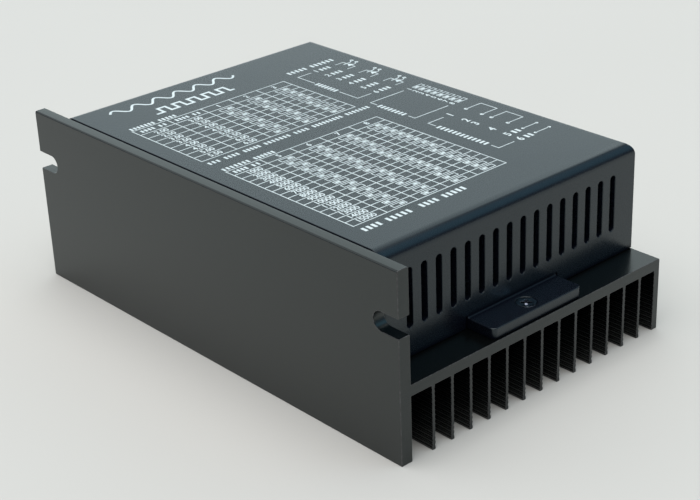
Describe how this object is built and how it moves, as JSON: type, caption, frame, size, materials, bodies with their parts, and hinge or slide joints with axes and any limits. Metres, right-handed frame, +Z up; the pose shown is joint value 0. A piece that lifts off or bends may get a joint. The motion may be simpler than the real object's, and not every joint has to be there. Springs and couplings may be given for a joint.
{
  "type": "stepper driver module",
  "caption": "Stepper motor driver: finned L-shaped heat sink, folded vented cover, circuit board with power stage, DIP switch and pluggable screw terminals.",
  "frame": {"origin": "on the mounting face, midway between the round ends of the two mounting notches", "axes": "+X along the extrusion, +Y from the mounting face towards the connector side, +Z up from the fins to the cover's top"},
  "size_m": [0.151, 0.1047, 0.0526],
  "materials": {
    "black_anodising": "black anodised, satin, fine extrusion lines",
    "black_paint": "black baked paint, satin",
    "dark_zinc": "dark zinc plating",
    "bright_zinc": "bright zinc plating",
    "board_green": "green solder mask",
    "brass": "turned brass",
    "black_epoxy": "moulded epoxy",
    "thermal_pad": "grey silicone sheet",
    "capacitor_sleeve": "shrunk plastic sleeve",
    "copper_winding": "enamelled copper on ferrite",
    "fuse_metal": "plated caps and clips, glass barrel",
    "white_epoxy": "moulded epoxy",
    "shunt_metal": "copper alloy strip",
    "black_nylon": "moulded nylon",
    "green_lens": "tinted clear lens",
    "red_lens": "tinted clear lens",
    "red_plastic": "moulded plastic",
    "white_plastic": "moulded plastic",
    "green_plastic": "moulded nylon",
    "tinned_metal": "tin plating"
  },
  "bodies": {
    "housing": {"heat_sink": "black_anodising", "cover": "black_paint", "cover_screws": "dark_zinc", "circuit_board": "board_green", "board_standoffs": "brass", "board_screws": "bright_zinc", "power_transistors": "black_epoxy", "insulating_pad": "thermal_pad", "clamp_bar": "bright_zinc", "clamp_screws": "bright_zinc", "bulk_capacitors": "capacitor_sleeve", "bridge_rectifier": "black_epoxy", "supply_inductor": "copper_winding", "supply_fuse": "fuse_metal", "microcontroller": "black_epoxy", "optocouplers": "white_epoxy", "gate_drivers": "black_epoxy", "sense_shunts": "shunt_metal", "led_holder": "black_nylon", "power_led": "green_lens", "fault_led": "red_lens", "dip_switch": "red_plastic", "board_headers": "green_plastic", "header_pins": "tinned_metal"},
    "signal_plug": {"signal_plug": "green_plastic", "signal_contacts": "tinned_metal"},
    "power_plug": {"power_plug": "green_plastic", "power_contacts": "tinned_metal"},
    "dip_slider_1": {"dip_slider_1": "white_plastic"},
    "dip_slider_2": {"dip_slider_2": "white_plastic"},
    "dip_slider_3": {"dip_slider_3": "white_plastic"},
    "dip_slider_4": {"dip_slider_4": "white_plastic"},
    "dip_slider_5": {"dip_slider_5": "white_plastic"},
    "dip_slider_6": {"dip_slider_6": "white_plastic"},
    "dip_slider_7": {"dip_slider_7": "white_plastic"},
    "dip_slider_8": {"dip_slider_8": "white_plastic"},
    "signal_screw_1": {"signal_screw_1": "bright_zinc"},
    "signal_cage_1": {"signal_cage_1": "tinned_metal"},
    "signal_screw_2": {"signal_screw_2": "bright_zinc"},
    "signal_cage_2": {"signal_cage_2": "tinned_metal"},
    "signal_screw_3": {"signal_screw_3": "bright_zinc"},
    "signal_cage_3": {"signal_cage_3": "tinned_metal"},
    "signal_screw_4": {"signal_screw_4": "bright_zinc"},
    "signal_cage_4": {"signal_cage_4": "tinned_metal"},
    "signal_screw_5": {"signal_screw_5": "bright_zinc"},
    "signal_cage_5": {"signal_cage_5": "tinned_metal"},
    "signal_screw_6": {"signal_screw_6": "bright_zinc"},
    "signal_cage_6": {"signal_cage_6": "tinned_metal"},
    "power_screw_1": {"power_screw_1": "bright_zinc"},
    "power_cage_1": {"power_cage_1": "tinned_metal"},
    "power_screw_2": {"power_screw_2": "bright_zinc"},
    "power_cage_2": {"power_cage_2": "tinned_metal"},
    "power_screw_3": {"power_screw_3": "bright_zinc"},
    "power_cage_3": {"power_cage_3": "tinned_metal"},
    "power_screw_4": {"power_screw_4": "bright_zinc"},
    "power_cage_4": {"power_cage_4": "tinned_metal"},
    "power_screw_5": {"power_screw_5": "bright_zinc"},
    "power_cage_5": {"power_cage_5": "tinned_metal"},
    "power_screw_6": {"power_screw_6": "bright_zinc"},
    "power_cage_6": {"power_cage_6": "tinned_metal"}
  },
  "joints": [
    {"name": "signal_plug_pull", "type": "slide", "parent": "housing", "child": "signal_plug", "axis": [0, 1, 0], "range_m": [0, 0.009]},
    {"name": "power_plug_pull", "type": "slide", "parent": "housing", "child": "power_plug", "axis": [0, 1, 0], "range_m": [0, 0.009]},
    {"name": "dip_slider_1_slide", "type": "slide", "parent": "housing", "child": "dip_slider_1", "axis": [0, 0, 1], "range_m": [0, 0.0021]},
    {"name": "dip_slider_2_slide", "type": "slide", "parent": "housing", "child": "dip_slider_2", "axis": [0, 0, 1], "range_m": [0, 0.0021]},
    {"name": "dip_slider_3_slide", "type": "slide", "parent": "housing", "child": "dip_slider_3", "axis": [0, 0, 1], "range_m": [0, 0.0021]},
    {"name": "dip_slider_4_slide", "type": "slide", "parent": "housing", "child": "dip_slider_4", "axis": [0, 0, 1], "range_m": [0, 0.0021]},
    {"name": "dip_slider_5_slide", "type": "slide", "parent": "housing", "child": "dip_slider_5", "axis": [0, 0, 1], "range_m": [0, 0.0021]},
    {"name": "dip_slider_6_slide", "type": "slide", "parent": "housing", "child": "dip_slider_6", "axis": [0, 0, 1], "range_m": [0, 0.0021]},
    {"name": "dip_slider_7_slide", "type": "slide", "parent": "housing", "child": "dip_slider_7", "axis": [0, 0, 1], "range_m": [0, 0.0021]},
    {"name": "dip_slider_8_slide", "type": "slide", "parent": "housing", "child": "dip_slider_8", "axis": [0, 0, 1], "range_m": [0, 0.0021]},
    {"name": "signal_cage_1_lift", "type": "slide", "parent": "signal_plug", "child": "signal_cage_1", "axis": [0, 0, 1], "range_m": [0, 0.0022]},
    {"name": "signal_screw_1_turn", "type": "hinge", "parent": "signal_plug", "child": "signal_screw_1", "pos_m": [-0.0396, 0.0995, -0.0039], "axis": [0, 0, 1], "range_deg": [-1765, 0]},
    {"name": "signal_cage_2_lift", "type": "slide", "parent": "signal_plug", "child": "signal_cage_2", "axis": [0, 0, 1], "range_m": [0, 0.0022]},
    {"name": "signal_screw_2_turn", "type": "hinge", "parent": "signal_plug", "child": "signal_screw_2", "pos_m": [-0.03452, 0.0995, -0.0039], "axis": [0, 0, 1], "range_deg": [-1765, 0]},
    {"name": "signal_cage_3_lift", "type": "slide", "parent": "signal_plug", "child": "signal_cage_3", "axis": [0, 0, 1], "range_m": [0, 0.0022]},
    {"name": "signal_screw_3_turn", "type": "hinge", "parent": "signal_plug", "child": "signal_screw_3", "pos_m": [-0.02944, 0.0995, -0.0039], "axis": [0, 0, 1], "range_deg": [-1765, 0]},
    {"name": "signal_cage_4_lift", "type": "slide", "parent": "signal_plug", "child": "signal_cage_4", "axis": [0, 0, 1], "range_m": [0, 0.0022]},
    {"name": "signal_screw_4_turn", "type": "hinge", "parent": "signal_plug", "child": "signal_screw_4", "pos_m": [-0.02436, 0.0995, -0.0039], "axis": [0, 0, 1], "range_deg": [-1765, 0]},
    {"name": "signal_cage_5_lift", "type": "slide", "parent": "signal_plug", "child": "signal_cage_5", "axis": [0, 0, 1], "range_m": [0, 0.0022]},
    {"name": "signal_screw_5_turn", "type": "hinge", "parent": "signal_plug", "child": "signal_screw_5", "pos_m": [-0.01928, 0.0995, -0.0039], "axis": [0, 0, 1], "range_deg": [-1765, 0]},
    {"name": "signal_cage_6_lift", "type": "slide", "parent": "signal_plug", "child": "signal_cage_6", "axis": [0, 0, 1], "range_m": [0, 0.0022]},
    {"name": "signal_screw_6_turn", "type": "hinge", "parent": "signal_plug", "child": "signal_screw_6", "pos_m": [-0.0142, 0.0995, -0.0039], "axis": [0, 0, 1], "range_deg": [-1765, 0]},
    {"name": "power_cage_1_lift", "type": "slide", "parent": "power_plug", "child": "power_cage_1", "axis": [0, 0, 1], "range_m": [0, 0.0022]},
    {"name": "power_screw_1_turn", "type": "hinge", "parent": "power_plug", "child": "power_screw_1", "pos_m": [0.016, 0.0995, -0.0039], "axis": [0, 0, 1], "range_deg": [-1765, 0]},
    {"name": "power_cage_2_lift", "type": "slide", "parent": "power_plug", "child": "power_cage_2", "axis": [0, 0, 1], "range_m": [0, 0.0022]},
    {"name": "power_screw_2_turn", "type": "hinge", "parent": "power_plug", "child": "power_screw_2", "pos_m": [0.02108, 0.0995, -0.0039], "axis": [0, 0, 1], "range_deg": [-1765, 0]},
    {"name": "power_cage_3_lift", "type": "slide", "parent": "power_plug", "child": "power_cage_3", "axis": [0, 0, 1], "range_m": [0, 0.0022]},
    {"name": "power_screw_3_turn", "type": "hinge", "parent": "power_plug", "child": "power_screw_3", "pos_m": [0.02616, 0.0995, -0.0039], "axis": [0, 0, 1], "range_deg": [-1765, 0]},
    {"name": "power_cage_4_lift", "type": "slide", "parent": "power_plug", "child": "power_cage_4", "axis": [0, 0, 1], "range_m": [0, 0.0022]},
    {"name": "power_screw_4_turn", "type": "hinge", "parent": "power_plug", "child": "power_screw_4", "pos_m": [0.03124, 0.0995, -0.0039], "axis": [0, 0, 1], "range_deg": [-1765, 0]},
    {"name": "power_cage_5_lift", "type": "slide", "parent": "power_plug", "child": "power_cage_5", "axis": [0, 0, 1], "range_m": [0, 0.0022]},
    {"name": "power_screw_5_turn", "type": "hinge", "parent": "power_plug", "child": "power_screw_5", "pos_m": [0.03632, 0.0995, -0.0039], "axis": [0, 0, 1], "range_deg": [-1765, 0]},
    {"name": "power_cage_6_lift", "type": "slide", "parent": "power_plug", "child": "power_cage_6", "axis": [0, 0, 1], "range_m": [0, 0.0022]},
    {"name": "power_screw_6_turn", "type": "hinge", "parent": "power_plug", "child": "power_screw_6", "pos_m": [0.0414, 0.0995, -0.0039], "axis": [0, 0, 1], "range_deg": [-1765, 0]}
  ],
  "couplings": [
    {"joint": "signal_screw_1_turn", "follows": "signal_cage_1_lift", "rad_per_m": -13963},
    {"joint": "signal_screw_2_turn", "follows": "signal_cage_2_lift", "rad_per_m": -13963},
    {"joint": "signal_screw_3_turn", "follows": "signal_cage_3_lift", "rad_per_m": -13963},
    {"joint": "signal_screw_4_turn", "follows": "signal_cage_4_lift", "rad_per_m": -13963},
    {"joint": "signal_screw_5_turn", "follows": "signal_cage_5_lift", "rad_per_m": -13963},
    {"joint": "signal_screw_6_turn", "follows": "signal_cage_6_lift", "rad_per_m": -13963},
    {"joint": "power_screw_1_turn", "follows": "power_cage_1_lift", "rad_per_m": -13963},
    {"joint": "power_screw_2_turn", "follows": "power_cage_2_lift", "rad_per_m": -13963},
    {"joint": "power_screw_3_turn", "follows": "power_cage_3_lift", "rad_per_m": -13963},
    {"joint": "power_screw_4_turn", "follows": "power_cage_4_lift", "rad_per_m": -13963},
    {"joint": "power_screw_5_turn", "follows": "power_cage_5_lift", "rad_per_m": -13963},
    {"joint": "power_screw_6_turn", "follows": "power_cage_6_lift", "rad_per_m": -13963}
  ]
}
